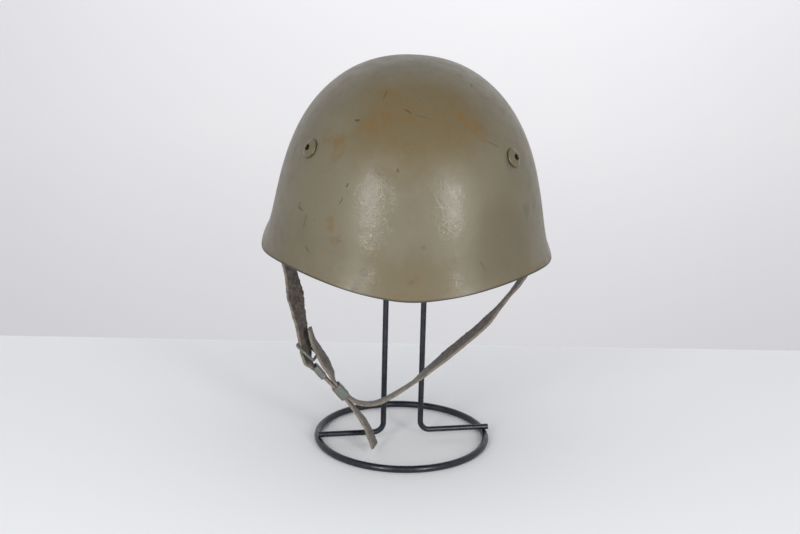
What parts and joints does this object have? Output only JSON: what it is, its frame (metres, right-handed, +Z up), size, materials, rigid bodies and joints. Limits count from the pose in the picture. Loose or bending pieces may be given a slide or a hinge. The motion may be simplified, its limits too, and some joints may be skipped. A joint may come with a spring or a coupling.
{
  "type": "steel helmet on a wire stand",
  "caption": "Domed steel military helmet with a turned-out skirt, hollow vent rivets and a leather chin strap, held up by a ring-based wire stand.",
  "frame": {"origin": "on the ground under the middle of the helmet's box", "axes": "+Z up, the helmet's brow towards -Y, +X to the wearer's left"},
  "size_m": [0.2404, 0.264, 0.3295],
  "materials": {
    "shell_paint": "satin, worn",
    "rivet_metal": "satin, worn",
    "fitting_paint": "satin, worn",
    "strap_leather": "matt, worn",
    "stand_paint": "gloss"
  },
  "bodies": {
    "root": {"helmet_shell": "shell_paint", "vent_rivet_left": "rivet_metal", "vent_rivet_right": "rivet_metal", "vent_rivet_back": "rivet_metal", "chin_strap_buckle_half": "strap_leather", "chin_strap_long_half": "strap_leather", "strap_buckle": "fitting_paint", "strap_keeper_upper": "fitting_paint", "strap_keeper_lower": "fitting_paint", "strap_anchor_left": "fitting_paint", "strap_anchor_right": "fitting_paint", "stand_base_ring": "stand_paint", "stand_top_ring": "stand_paint", "stand_wire_left": "stand_paint", "stand_wire_right": "stand_paint"}
  },
  "joints": []
}
